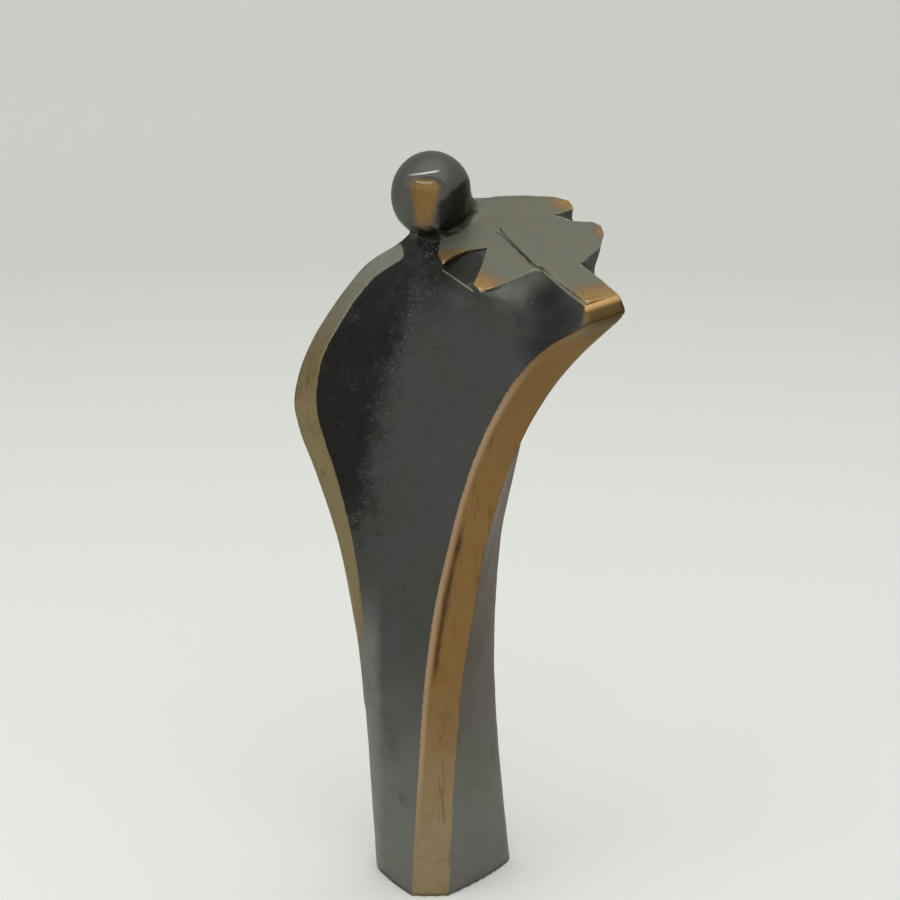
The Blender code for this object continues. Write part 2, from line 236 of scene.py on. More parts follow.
def tagBands(piece):
    # each band gets a material slot, which is read after the refining
    print("stage: bands")
    for name in ["patina"] + list(bands):
        piece.data.materials.append(bpy.data.materials.new("tag_" + name))
    for slot, (name, band) in enumerate(bands.items(), 1):
        pickSharp(piece, band["edge"])
        bpy.ops.mesh.mark_sharp()
        pick(piece, "FACE", lambda face: not band["from"] < face.calc_center_median().z < band["to"])
        bpy.ops.mesh.hide(unselected=False)
        pickNearest(piece, Vector(band["seed"]) * mm)
        bpy.ops.mesh.select_linked(delimit={"SHARP"})
        piece.active_material_index = slot
        bpy.ops.object.material_slot_assign()
        mesh = bmesh.from_edit_mesh(piece.data)
        print("band", name, sum(face.select for face in mesh.faces))
        bpy.ops.mesh.reveal(select=False)
        bpy.ops.mesh.select_all(action="SELECT")
        bpy.ops.mesh.mark_sharp(clear=True)


def softenFolds(piece):
    print("stage: soft folds")
    for spot in softSpots:
        middle = Vector(spot["middle"]) * mm
        reach = spot["reach"] * mm
        keep = spot.get("rim", softening["rim"])

        def inSpot(vert):
            onBand = any(face.material_index for face in vert.link_faces)
            onBrow = onHead(vert.co) and vert.co.z > head["brow"] * mm
            near = (vert.co - middle).length < reach
            return near and abs(overPlate(vert.co)) >= keep and not onBand and not onBrow

        pick(piece, "VERT", inSpot)
        bpy.ops.mesh.vertices_smooth(factor=softening["factor"], repeat=spot["times"])


def creaseEdges(piece):
    def isCrisp(edge):
        middle = (edge.verts[0].co + edge.verts[1].co) / 2
        low = onHead(middle) and middle.z < head["brow"] * mm
        onRim = all(abs(overPlate(vert.co)) < casting["rimWithin"] for vert in edge.verts)
        sharp = casting["rimSharpFrom"] if onRim else casting["sharpFrom"]
        return edge.is_manifold and edge.calc_face_angle() > sharp and not low

    print("stage: crisp edges", pick(piece, "EDGE", isCrisp))
    bpy.ops.transform.edge_crease(value=casting["crispCrease"])
    bpy.ops.object.mode_set(mode="OBJECT")


def refine(piece):
    print("stage: refine")
    makeActive(piece)
    smooth = piece.modifiers.new("round", "SUBSURF")
    smooth.levels = smooth.render_levels = casting["levels"]
    smooth.boundary_smooth = "PRESERVE_CORNERS"
    bpy.ops.object.modifier_apply(modifier=smooth.name)
    bpy.ops.object.shade_smooth()
    print("triangles", sum(len(face.vertices) - 2 for face in piece.data.polygons))


# What each spot of the surface is, read from the bands and the edges

masks = {
    "bandBlur": 5,                 # passes over which a band's edge fades
    "leanBlur": 8,                 # passes that tell the strip's left edge from its right one
    "leanLeast": 0.01,
    "leanFull": 1.3 * mm,
    "chamfer": (0.2, 0.7),         # how far into the strip its lighter left line starts and is full
    "rim": (0.10, 0.42),           # how convex an edge is, as a turn of the normals, where the bright line of wear and painted highlight starts and is full
    "rimBlur": 1,
    "crevice": (0, 0.5),           # the same for how hollow a fold is, for shade
    "creviceBlur": 3,
}
leastLength = 1e-9


def readArray(items, name, width, kind=np.float32):
    values = np.zeros(len(items) * width, kind)
    items.foreach_get(name, values)
    return values.reshape(-1, width) if width > 1 else values


def shareBetween(values, low, high):
    return np.clip((values - low) / (high - low), 0, 1)


def easeBetween(values, low, high):
    share = shareBetween(values, low, high)
    return share * share * (3 - 2 * share)


def spread(values, edges, passes):
    # blurs values over the neighbours along the edges
    count = np.bincount(edges.ravel(), minlength=len(values))
    for _ in range(passes):
        total = np.bincount(edges[:, 0], values[edges[:, 1]], len(values))
        total += np.bincount(edges[:, 1], values[edges[:, 0]], len(values))
        values = (values + total / np.maximum(count, 1)) / 2
    return values


def findBandMasks(data, places, edges):
    # how far a spot lies in each band, and in the strip's left edge
    loopVerts = readArray(data.loops, "vertex_index", 1, np.int32)
    sizes = readArray(data.polygons, "loop_total", 1, np.int32)
    tags = np.repeat(readArray(data.polygons, "material_index", 1, np.int32), sizes)
    around = np.bincount(loopVerts, minlength=len(places))
    found = {}
    for slot, name in enumerate(bands, 1):
        share = np.bincount(loopVerts, tags == slot, len(places)) / around
        found[name] = spread(share, edges, masks["bandBlur"])
        if name == "strip":
            wide = np.maximum(spread(share, edges, masks["leanBlur"]), masks["leanLeast"])
            lean = spread(share * places[:, 0], edges, masks["leanBlur"]) / wide - places[:, 0]
            found["chamfer"] = shareBetween(lean, 0, masks["leanFull"]) * shareBetween(share, *masks["chamfer"])
    return found


def findEdgeMasks(data, places, edges):
    # how convex and how hollow a spot is
    normals = readArray(data.vertex_normals, "vector", 3)
    run = places[edges[:, 1]] - places[edges[:, 0]]
    turn = normals[edges[:, 1]] - normals[edges[:, 0]]
    bend = np.einsum("ij,ij->i", run, turn) / np.maximum(np.linalg.norm(run, axis=1), leastLength)
    convex = np.maximum.reduce([np.zeros(len(places))] + [
        np.bincount(edges[:, side], np.maximum(bend, 0), len(places)) / 2 for side in (0, 1)])
    hollow = np.bincount(edges.ravel(), np.repeat(np.maximum(-bend, 0), 2), len(places))
    return {
        "rim": spread(shareBetween(convex, *masks["rim"]), edges, masks["rimBlur"]),
        "crevice": spread(shareBetween(hollow, *masks["crevice"]), edges, masks["creviceBlur"]),
    }


def readMasks(piece):
    # keeps each mask as a value for every vert, and drops the bands' material slots
    print("stage: masks")
    data = piece.data
    edges = readArray(data.edges, "vertices", 2, np.int32)
    places = readArray(data.vertices, "co", 3)
    found = {**findBandMasks(data, places, edges), **findEdgeMasks(data, places, edges)}
    for name, values in found.items():
        attribute = data.attributes.new(name, "FLOAT", "POINT")
        attribute.data.foreach_set("value", values.astype(np.float32))
        print("mask", name, round(float(values.max()), 2), round(float(values.mean()), 4))
    data.materials.clear()
    data.polygons.foreach_set("material_index", np.zeros(len(data.polygons), np.int32))


# The surface's own waves and grain, as relief

relief = [
    {"name": "cast_waves", "size": 11 * mm, "depth": 0.30 * mm, "on": "patina"},
    {"name": "cast_grain", "size": 1.7 * mm, "depth": 0.10 * mm, "on": "pitted"},
    {"name": "ground_waves", "size": 6 * mm, "depth": 0.16 * mm, "on": "ground"},
]
reliefPlaces = {
    "foot": (0.6 * mm, 4 * mm),            # nothing moves below the first height, all of it above the second
    "pittedMiddle": (-17, -12, 160),       # the rough patch on the front
    "pittedScale": (1, 0.6, 0.45),         # it reaches further up and down than across
    "pittedReach": (14 * mm, 34 * mm),
    "pittedLeast": 0.35,
    "topWithin": 1 * mm,                   # the violin's plane is smoother
    "topWaves": 0.35,
    "topGrain": 0.3,
}


def addRelief(piece):
    print("stage: relief")
    data = piece.data
    places = readArray(data.vertices, "co", 3)
    band = np.zeros(len(places), np.float32)
    for name in bands:
        band = np.maximum(band, readArray(data.attributes[name].data, "value", 1))
    foot = easeBetween(places[:, 2], *reliefPlaces["foot"])
    offset = (places - np.array(reliefPlaces["pittedMiddle"]) * mm) * reliefPlaces["pittedScale"]
    rough = 1 - easeBetween(np.linalg.norm(offset, axis=1), *reliefPlaces["pittedReach"])
    rough = reliefPlaces["pittedLeast"] + (1 - reliefPlaces["pittedLeast"]) * rough
    onTop = np.abs((places - np.array(onPlate(0, 0))) @ np.array(plateUp)) < reliefPlaces["topWithin"]
    weights = {
        "patina": foot * (1 - band) * np.where(onTop, reliefPlaces["topWaves"], 1),
        "pitted": foot * (1 - band) * rough * np.where(onTop, reliefPlaces["topGrain"], 1),
        "ground": foot * band,
    }
    for layer in relief:
        group = piece.vertex_groups.new(name=layer["name"])
        for index, weight in enumerate(weights[layer["on"]]):
            group.add([index], float(weight), "REPLACE")
        clouds = bpy.data.textures.new(layer["name"], "CLOUDS")
        clouds.noise_scale = layer["size"]
        clouds.noise_depth = 1
        push = piece.modifiers.new(layer["name"], "DISPLACE")
        push.texture = clouds
        push.texture_coords = "LOCAL"
        push.strength = layer["depth"]
        push.mid_level = 0.5
        push.vertex_group = layer["name"]
        bpy.ops.object.modifier_apply(modifier=push.name)
    piece.vertex_groups.clear()


# Shader maths

class Value:
    def __init__(self, tree, socket):
        self.tree = tree
        self.socket = socket

    def node(self, kind, settings=None, inputs=None, output=0):
        made = self.tree.nodes.new(kind)
        for name, setting in (settings or {}).items():
            setattr(made, name, setting)
        for name, given in (inputs or {}).items():
            if isinstance(given, Value):
                self.tree.links.new(given.socket, made.inputs[name])
            else:
                made.inputs[name].default_value = given
        return Value(self.tree, made.outputs[output])

    def maths(self, kind, first, second):
        return self.node("ShaderNodeMath", {"operation": kind}, {0: first, 1: second})

    def __add__(self, other):
        return self.maths("ADD", self, other)

    def __radd__(self, other):
        return self.maths("ADD", other, self)

    def __sub__(self, other):
        return self.maths("SUBTRACT", self, other)

    def __rsub__(self, other):
        return self.maths("SUBTRACT", other, self)

    def __mul__(self, other):
        return self.maths("MULTIPLY", self, other)

    def __rmul__(self, other):
        return self.maths("MULTIPLY", other, self)

    def larger(self, other):
        return self.maths("MAXIMUM", self, other)

    def size(self):
        return self.node("ShaderNodeMath", {"operation": "ABSOLUTE"}, {0: self})

    def ease(self, limits, unit=1):
        # runs smoothly from 0 at the first limit to 1 at the second
        low, high = limits
        return self.node("ShaderNodeMapRange", {"interpolation_type": "SMOOTHSTEP"},
                         {"Value": self, "From Min": low * unit, "From Max": high * unit})

    def between(self, low, high):
        # runs from low to high as this value runs from 0 to 1
        return low + (high - low) * self

    def swing(self, amount):
        # turns a noise round one half into one round 0
        return (self - 0.5) * amount

    def tint(self, first, second):
        # mixes two colours by this value
        first = (*first, 1) if isinstance(first, tuple) else first
        second = (*second, 1) if isinstance(second, tuple) else second
        return self.node("ShaderNodeMix", {"data_type": "RGBA"}, {0: self, 6: first, 7: second}, 2)

    def part(self, axis):
        return self.node("ShaderNodeSeparateXYZ", None, {0: self}, axis)

    def along(self, direction):
        # how far this vector runs in a direction
        return self.node("ShaderNodeVectorMath", {"operation": "DOT_PRODUCT"}, {0: self, 1: tuple(direction)}, 1)

    def stretch(self, scale):
        return self.node("ShaderNodeMapping", None, {"Vector": self, "Scale": scale})

    def noise(self, size, detail, distortion=0):
        # noise at this place, with features of that size in metres
        return self.node("ShaderNodeTexNoise", None,
                         {"Vector": self, "Scale": 1 / size, "Detail": detail, "Distortion": distortion})

    def near(self, point, reach):
        # 1 within the first reach of a point in metres and 0 beyond the second, both in millimetres
        away = self.node("ShaderNodeVectorMath", {"operation": "DISTANCE"}, {0: self, 1: tuple(point)}, 1)
        return away.ease(reach[::-1], mm)

    def nearSpot(self, spot):
        point, reach = spot
        return self.near(Vector(point) * mm, reach)

    def fromLine(self, start, end):
        # how far this place is from the line through two points
        offset = self.node("ShaderNodeVectorMath", {"operation": "SUBTRACT"}, {0: self, 1: tuple(start)})
        turned = self.node("ShaderNodeVectorMath", {"operation": "CROSS_PRODUCT"},
                           {0: offset, 1: tuple((end - start).normalized())})
        return self.node("ShaderNodeVectorMath", {"operation": "LENGTH"}, {0: turned}, 1)


# The finish: colours first, then where each one goes. A pair of limits says where something starts and is full

finish = {
    # near black: the patina's own dark mottling, and also the colour of painted shade and of the painted dark
    # reflection on the front
    "patinaBlackAndPaintedDark": (0.006, 0.006, 0.007),
    "patinaGrey": (0.062, 0.063, 0.066),
    "patinaOlive": (0.060, 0.064, 0.054),
    "patinaPaleAndPaintedLight": (0.155, 0.158, 0.143),     # pale grey: painted reflection of the pale floor low on the body, painted light under the left lower tip, and the pale of the mottling and specks
    "cornerReflectionGrey": (0.230, 0.235, 0.210),    # painted reflection along the round corner low on the left
    "patinaBrown": (0.095, 0.078, 0.066),    # the right face
    "patinaMetal": 0.75,
    "patinaGloss": (0.36, 0.50),
    "headGrey": (0.090, 0.093, 0.083),
    # the violin's plane: a lighter patina, partly its own smoother finish and partly painted reflection of the light
    # from above
    "plateGrey": (0.162, 0.170, 0.143),
    "plateOlive": (0.178, 0.168, 0.120),
    "groundGold": (0.240, 0.138, 0.051),
    "groundTan": (0.310, 0.230, 0.135),
    "groundOlive": (0.225, 0.175, 0.092),    # the shoulder
    "groundGrey": (0.250, 0.250, 0.215),     # its upper end, by the neck
    "stainBrownAndShade": (0.110, 0.058, 0.024),    # stains, and painted shade on the strip under the violin's nose
    "stripEdgeHighlight": (0.430, 0.290, 0.190),     # painted highlight along the strip's left edge, where a narrow facet catches the light
    "groundGloss": (0.28, 0.42),
    "tipGold": (0.400, 0.245, 0.095),        # the violin's tips, rubbed brighter
    "noseBrown": (0.080, 0.052, 0.020),      # the end of the violin's neck, painted darker as shade below the violin's plane
    # painted highlights along the brow and over the face
    "browHighlightColour": (0.600, 0.580, 0.520),
    "wearAndHighlightColour": (0.620, 0.500, 0.320),     # the thin lines along crisp edges: rubbed metal with a painted highlight on it
    "specular": 0.3,
    "specularTint": (0.90, 0.83, 0.72),
}

# each noise's size, detail and distortion
noises = {
    "broad": (17 * mm, 3),
    "middling": (4.5 * mm, 4, 0.5),
    "fine": (0.8 * mm, 4),
    "bandEdge": (2.4 * mm, 3),
    "specks": (0.9 * mm, 2),
    "streaks": (1.6 * mm, 3, 0.3),
    "fileLines": (0.4 * mm, 2),
}
surface = {
    "front": (0.3, -0.2),          # how far a face looks to the back
    "topFrom": (-0.32, -0.12),     # the violin's plane, by the distance over it
    "topTo": (1.2, 2.0),
    "headReach": (14.4, 15),
    "headFrom": (0.6, 1.6),
}


def readSurface(tree):
    # what the shader knows of a spot
    root = Value(tree, None)
    place = root.node("ShaderNodeTexCoord", None, None, "Object")
    facing = root.node("ShaderNodeTexCoord", None, None, "Normal")
    over = place.along(plateUp) - onPlate(0, 0).dot(plateUp)
    here = SimpleNamespace(place=place, over=over)
    here.across, here.depth, here.height = (place.part(axis) for axis in range(3))
    here.lookRight = facing.part(0)
    here.lookFront = facing.part(1).ease(surface["front"])
    here.upright = facing.along(plateUp)
    here.onTop = over.ease(surface["topFrom"], mm) * (1 - over.ease(surface["topTo"], mm))
    here.onHead = place.near(headMiddle, surface["headReach"]) * over.ease(surface["headFrom"], mm)
    here.broad = place.noise(*noises["broad"])
    here.middling = place.noise(*noises["middling"])
    here.fine = place.noise(*noises["fine"])
    here.mask = {name: root.node("ShaderNodeAttribute", {"attribute_name": name}, None, "Fac")
                 for name in ("strip", "shoulder", "chamfer", "rim", "crevice")}
    return here


bandEdges = {
    "ragged": 0.3,
    "strip": (0.36, 0.52),
    "shoulder": (0.36, 0.54),
    "fadeHeight": (72, 100),       # the shoulder's band runs out low down
    "fadeSwing": 30,
    "neckHeight": (215, 210),      # and ends under the head
}


def findBands(here):
    # the ground strip up the front, and the ground band over the shoulder
    ragged = here.place.noise(*noises["bandEdge"]).swing(bandEdges["ragged"])
    strip = (here.mask["strip"] + ragged).ease(bandEdges["strip"])
    fade = (here.height + here.middling.swing(bandEdges["fadeSwing"] * mm)).ease(bandEdges["fadeHeight"], mm)
    shoulder = (here.mask["shoulder"] + ragged).ease(bandEdges["shoulder"]) * fade
    return strip, shoulder * here.height.ease(bandEdges["neckHeight"], mm)


# rubbed golden tips of the violin's plane: x, y and reach
goldTips = [
    (1.0, -14.0, (1.0, 6.5)),      # left upper tip
    (5.5, -12.0, (0.5, 4.0)),
    (11.5, -26.5, (1.0, 10.0)),    # left lower tip
    (38.5, 14.5, (0.5, 8.0)),      # right upper tip
    (48.5, -1.0, (0.3, 4.0)),      # right lower tip
]
tipShare = (0.75, 1.25)            # the middling noise makes them uneven
nosePatch = {"spot": ((46.5, -35, 199), (5, 14)), "turnedLeft": (-0.5, -0.25), "under": (-0.2, -1.0)}
notchEdge = {"middle": (5.5, -15.0), "reach": (6.5, 8.5), "upright": (0.95, 0.8), "depth": (-1.1, -0.7), "share": 0.85}


def findTips(here):
    # the rubbed tips with the end of the violin's neck, its nose, and with the first notch's worn edge
    nose = here.place.nearSpot(nosePatch["spot"]) * here.lookRight.ease(nosePatch["turnedLeft"])
    tips = reduce(Value.larger, [here.place.near(onPlate(x, y), reach) for x, y, reach in goldTips])
    tips = tips.larger(nose) * here.middling.between(*tipShare) * here.onTop.larger(nose)
    edge = here.place.near(onPlate(*notchEdge["middle"]), notchEdge["reach"]) * (1 - here.onHead)
    edge = edge * here.upright.ease(notchEdge["upright"]) * here.over.ease(notchEdge["depth"], mm)
    return tips.larger(edge * notchEdge["share"]), nose


facePatch = {
    "across": -4.2,
    "top": 232.0,
    "ragged": 1.2,
    "half": 4.9,                   # half its width
    "side": (1.25, 0.7),           # where its sides fade, as shares of that
    "lean": 0.03,
    "taper": 0.20,
    "corner": (2.4, -0.6),         # its upper corners are round
    "cornerRound": 2.0,
    "upperEnd": (-0.8, 0.9),
    "lowerEnd": (9.9, 18),
    "front": (0, -4),
    "rubbed": (5, 1),              # its upper part is rubbed brighter
    "rubbedShare": 0.5,
}


def findFace(here):
    # the head's golden facet, and the brighter part of it
    down = facePatch["top"] * mm - here.height + here.middling.swing(facePatch["ragged"] * mm)
    aside = (here.across - facePatch["across"] * mm + down * facePatch["lean"]).size() + down * facePatch["taper"]
    aside = aside + down.ease(facePatch["corner"], mm) * (facePatch["cornerRound"] * mm)
    side = [facePatch["half"] * share for share in facePatch["side"]]
    face = aside.ease(side, mm) * down.ease(facePatch["upperEnd"], mm) * (1 - down.ease(facePatch["lowerEnd"], mm))
    face = face * here.onHead * here.depth.ease(facePatch["front"], mm)
    return face, face * down.ease(facePatch["rubbed"], mm) * facePatch["rubbedShare"]


# painted highlights along the face's upper edge and over the face, where rise is to the right and length is half of it
browHighlightLines = [
    {"level": 233.7, "middle": -4.8, "rise": 0.15, "arch": 0.0, "half": 0.34, "length": 5.2, "share": 0.85},
    {"level": 231.0, "middle": -4.6, "rise": -0.05, "arch": -0.05, "half": 0.40, "length": 3.0, "share": 0.45},
]
browFade = {"side": 0.2, "end": 0.7, "front": (-3, -6)}      # the first two as shares of the half width and length


def findBrowHighlights(here):
    lines = []
    for line in browHighlightLines:
        aside = here.across - line["middle"] * mm
        off = here.height - line["level"] * mm - aside * line["rise"] + aside * aside * (line["arch"] / mm)
        shine = off.size().ease((line["half"], line["half"] * browFade["side"]), mm)
        shine = shine * aside.size().ease((line["length"], line["length"] * browFade["end"]), mm)
        lines.append(shine * line["share"])
    return sum(lines) * here.onHead * here.depth.ease(browFade["front"], mm)


footShade = ((-3.8, -4.5, 214.3), (2.5, 5.5))      # the plane's dark bit in front of the head's foot
rimLines = {
    "swing": 0.3,
    "edge": (0.2, 0.75),
    "foot": (1.5, 4),
    "overFrom": (-0.9, -0.5),      # only the violin's rim gets the bright line, by the distance over its plane
    "overTo": (0.45, 0.25),
    "strip": (0.05, 0.3),
    "share": 0.6,
}
plainEdges = [footShade, ((23, 5.3, 218.6), (8, 10)), ((29, -18.2, 208.2), (1, 2.5))]      # edges that get no bright line
notchLip = {"ends": ((0.4, -14.9, 207.0), (9.9, -25.8, 202.2)), "half": 0.42, "core": 0.3, "fade": 0.8, "share": 0.65}


def findWearAndHighlights(here):
    # thin bright lines along the violin's rim and the lip of its first notch: rubbed metal with a painted highlight on
    # it
    brightLine = (here.mask["rim"] + here.middling.swing(rimLines["swing"])).ease(rimLines["edge"])
    brightLine = brightLine * here.height.ease(rimLines["foot"], mm) * (1 - here.onHead) * (1 - here.mask["strip"].ease(rimLines["strip"]))
    brightLine = brightLine * here.over.ease(rimLines["overFrom"], mm) * here.over.ease(rimLines["overTo"], mm).larger(here.nose)
    for point, reach in plainEdges:
        brightLine = brightLine * here.place.near(Vector(point) * mm, reach[::-1])
    start, end = (Vector(point) * mm for point in notchLip["ends"])
    reach = (end - start).length / 2 / mm
    lip = here.place.fromLine(start, end).ease((notchLip["half"], notchLip["half"] * notchLip["core"]), mm)
    lip = lip * here.place.near((start + end) / 2, (reach - notchLip["fade"], reach))
    return brightLine.larger(lip * notchLip["share"])


# painted dark reflection: the upper left of the front, which faces the dark room in front, is painted near black
darkReflectionEdge = {
    "across": -19.5,               # its right edge at a height
    "height": 158,
    "lean": 0.08,                  # how the edge leans everywhere, and more so over that height
    "upperLean": 0.24,
    "soft": (-9, 8),
    "from": (95, 145),             # between which heights the dark comes in
    "swings": (0.8, 0.9, 0.4),     # of the broad, middling and fine noise
    "share": 0.86,
}
# painted shade, in spots under the head, the chin, the tips and the violin's nose
shadeSpots = [
    ((-3, -8, 211), (3, 9)),       # the neck under the head
    ((-8, -4, 213), (1, 4)),       # its left corner
    ((36, -29, 190), (6, 17)),     # under the violin's nose
    ((-2, -13, 205), (0, 17)),     # under the chin and the left upper tip
    ((32, -26, 198), (3, 11)),     # in the waist
]


def findPaintedDarkness(here):
    # the painted dark reflection over the upper left of the front and the painted shade spots, and where the first of
    # them fades and is pitted
    above = here.height - darkReflectionEdge["height"] * mm
    inside = darkReflectionEdge["across"] * mm + above * darkReflectionEdge["lean"] - here.across
    inside = inside + above.larger(0) * darkReflectionEdge["upperLean"]
    black = inside.ease(darkReflectionEdge["soft"], mm) * here.height.ease(darkReflectionEdge["from"], mm)
    for noise, swing in zip((here.broad, here.middling, here.fine), darkReflectionEdge["swings"]):
        black = black + noise.swing(swing)
    black = black.ease((0, 1))
    pitted = black * (1 - black) * 4
    return reduce(Value.larger, [here.place.nearSpot(spot) for spot in shadeSpots], black), pitted


scoop = {
    "middle": (6.5, -16.5),        # the first notch's carved floor
    "reach": (7, 9.5),
    "upright": (0.88, 0.96),
    "depth": (-0.12, -0.32),
    "share": 0.5,
}
headShade = {
    "ringReach": (12.5, 16.5),     # round the head's foot, on the violin's plane
    "ringAcross": (-1, 3),
    "foot": 225.5,                 # over this height the shade's left edge on the head leans right
    "slope": 1.35,
    "ragged": 4,
    "from": (-3.0, 2.2),
    "to": (9.5, 6.0),
    "front": (10, 3),
}
hollowEdge = {"swing": 0.4, "limits": (0.2, 0.8), "share": 0.84}


def findHollows(here):
    # shade in the carved floor, round the head's foot, on its right side and in the folds
    floor = here.place.near(onPlate(*scoop["middle"]), scoop["reach"]) * here.upright.ease(scoop["upright"])
    floor = floor * here.over.ease(scoop["depth"], mm) * scoop["share"]
    ring = here.place.near(headMiddle, headShade["ringReach"]) * here.across.ease(headShade["ringAcross"], mm)
    off = here.across - (here.height - headShade["foot"] * mm).larger(0) * headShade["slope"]
    off = off + here.middling.swing(headShade["ragged"] * mm)
    side = off.ease(headShade["from"], mm) * off.ease(headShade["to"], mm)
    side = side * here.onHead * here.depth.ease(headShade["front"], mm)
    hollow = floor.larger(ring * here.onTop).larger(side).larger(here.mask["crevice"])
    hollow = hollow.larger(here.place.nearSpot(footShade))
    return (hollow + here.middling.swing(hollowEdge["swing"])).ease(hollowEdge["limits"])


patinaLook = {
    "olive": (0.42, 0.62),
    "brownTurn": (0.35, 0.75),     # how far a face has to look right to turn brown
    "brownShare": (0.5, 1),
    "paleHeight": (95, 12),        # painted reflection of the floor: turns pale from one height down to the other
    "paleSwing": 40,
    "reflectionAcross": (-17.8, -22.5),
    "reflectionSwing": 3,
    "reflectionHeight": (108, 78),
    "reflectionShare": 0.6,
    "plateOlive": (0.35, 0.7),
    "mottleFine": 0.9,
    "mottleMiddling": 0.5,
    "mottleReach": 0.9,
    "mottlePale": 0.30,
    "mottleBlack": 0.55,
    "specks": (0.54, 0.70),
    "specksPitted": (0.15, 1),
    "specksShare": 0.34,
}
waistLight = {"spot": ((20, -26, 202), (1, 8)), "share": 0.5}      # painted light on the lit wall under the left lower tip


def mixPatina(here):
    # the dark patina: grey to olive, then what lies over it one over the other, with painted reflections, painted light
    # and painted shade among them
    look = patinaLook
    patina = here.broad.ease(look["olive"]).tint(finish["patinaGrey"], finish["patinaOlive"])
    brown = here.lookRight.ease(look["brownTurn"]) * here.broad.between(*look["brownShare"])
    patina = brown.tint(patina, finish["patinaBrown"])
    # painted reflection: the body turns paler low down, where it faces the pale floor
    pale = (here.height + here.broad.swing(look["paleSwing"] * mm)).ease(look["paleHeight"], mm)
    patina = pale.tint(patina, finish["patinaPaleAndPaintedLight"])
    # painted reflection: a pale vertical band on the round corner low on the left
    cornerReflection = (here.across + here.middling.swing(look["reflectionSwing"] * mm)).ease(look["reflectionAcross"], mm)
    cornerReflection = cornerReflection * here.height.ease(look["reflectionHeight"], mm) * here.lookFront
    patina = (cornerReflection * look["reflectionShare"]).tint(patina, finish["cornerReflectionGrey"])
    patina = (here.place.nearSpot(waistLight["spot"]) * waistLight["share"]).tint(patina, finish["patinaPaleAndPaintedLight"])
    # painted dark reflection over the front-facing upper left
    patina = (here.black * here.lookFront * darkReflectionEdge["share"]).tint(patina, finish["patinaBlackAndPaintedDark"])
    patina = here.onHead.tint(patina, finish["headGrey"])
    # the violin's plane, painted lighter, partly as painted reflection of the light from above
    plateColour = here.middling.ease(look["plateOlive"]).tint(finish["plateGrey"], finish["plateOlive"])
    patina = (here.onTop * (1 - here.onHead)).tint(patina, plateColour)
    patina = (findHollows(here) * hollowEdge["share"]).tint(patina, finish["patinaBlackAndPaintedDark"])
    mottled = here.fine.swing(look["mottleFine"]) + here.middling.swing(look["mottleMiddling"])
    patina = (mottled.ease((0, look["mottleReach"])) * look["mottlePale"]).tint(patina, finish["patinaPaleAndPaintedLight"])
    patina = (mottled.ease((0, -look["mottleReach"])) * look["mottleBlack"]).tint(patina, finish["patinaBlackAndPaintedDark"])
    specks = here.place.noise(*noises["specks"]).ease(look["specks"]) * here.pitted.between(*look["specksPitted"])
    specks = specks * (1 - here.onTop.larger(here.onHead))
    return (specks * look["specksShare"]).tint(patina, finish["patinaPaleAndPaintedLight"])


metalLook = {
    "tanHeight": (78, 12),         # the strip turns from gold to tan from one height down to the other
    "tanSwing": 30,
    "greyHeight": (174, 203),      # the shoulder's band turns from olive to grey
    "stainMiddling": 0.6,
    "stainFine": 0.4,
    "stains": (0.45, 0.72),
    "stainShare": 0.35,
    "streakStretch": (1, 1, 0.09),
    "streaks": (0.58, 0.70),
    "streakShare": 0.5,
    "shadeHeight": (120, 205),     # painted shade: the strip is darker under the violin's nose
    "shadeShare": 0.35,
}
# painted highlight along the strip's left edge, where a narrow facet catches the light, and painted shade in the groove
# beside it
chamferHighlight = {"swing": 0.2, "edge": (0.12, 0.5), "lowEnd": (8, 55), "highEnd": (190, 165), "share": 0.75}
grooveShadeLine = {"from": (0.0, 0.05), "to": (0.10, 0.22), "lowEnd": (72, 84), "highEnd": (134, 120), "share": (0.3, 0.9)}


def mixMetal(here):
    # the bare metal: gold or tan, olive or grey on the shoulder, then tips, stains with painted shade, and lines with
    # painted highlight and painted shade over it
    look = metalLook
    tan = (here.height + here.broad.swing(look["tanSwing"] * mm)).ease(look["tanHeight"], mm)
    metal = tan.tint(finish["groundGold"], finish["groundTan"])
    shoulderMetal = here.height.ease(look["greyHeight"], mm).tint(finish["groundOlive"], finish["groundGrey"])
    metal = here.shoulder.tint(metal, shoulderMetal)
    metal = here.tips.larger(here.faceTop).tint(metal, finish["tipGold"])
    stains = (here.middling * look["stainMiddling"] + here.fine * look["stainFine"]).ease(look["stains"])
    streaks = here.place.stretch(look["streakStretch"]).noise(*noises["streaks"]).ease(look["streaks"])
    # painted shade on the strip under the violin's nose, laid on with the stains
    shade = here.strip * here.height.ease(look["shadeHeight"], mm) * look["shadeShare"]
    stains = (stains * look["stainShare"]).larger(streaks * look["streakShare"]).larger(shade)
    metal = stains.tint(metal, finish["stainBrownAndShade"])
    # painted shade on the nose below the violin's plane
    metal = (here.nose * here.over.ease(nosePatch["under"], mm)).tint(metal, finish["noseBrown"])
    leaning = here.mask["chamfer"]
    # painted shade in the groove beside the strip's left edge
    grooveShade = leaning.ease(grooveShadeLine["from"]) * (1 - leaning.ease(grooveShadeLine["to"]))
    grooveShade = grooveShade * here.height.ease(grooveShadeLine["lowEnd"], mm) * here.height.ease(grooveShadeLine["highEnd"], mm)
    metal = (grooveShade * here.middling.between(*grooveShadeLine["share"])).tint(metal, finish["patinaBlackAndPaintedDark"])
    # painted highlight on the narrow facet along the strip's left edge
    chamfer = (leaning + here.fine.swing(chamferHighlight["swing"])).ease(chamferHighlight["edge"])
    chamfer = chamfer * here.height.ease(chamferHighlight["lowEnd"], mm) * here.height.ease(chamferHighlight["highEnd"], mm)
    return (chamfer * chamferHighlight["share"]).tint(metal, finish["stripEdgeHighlight"])


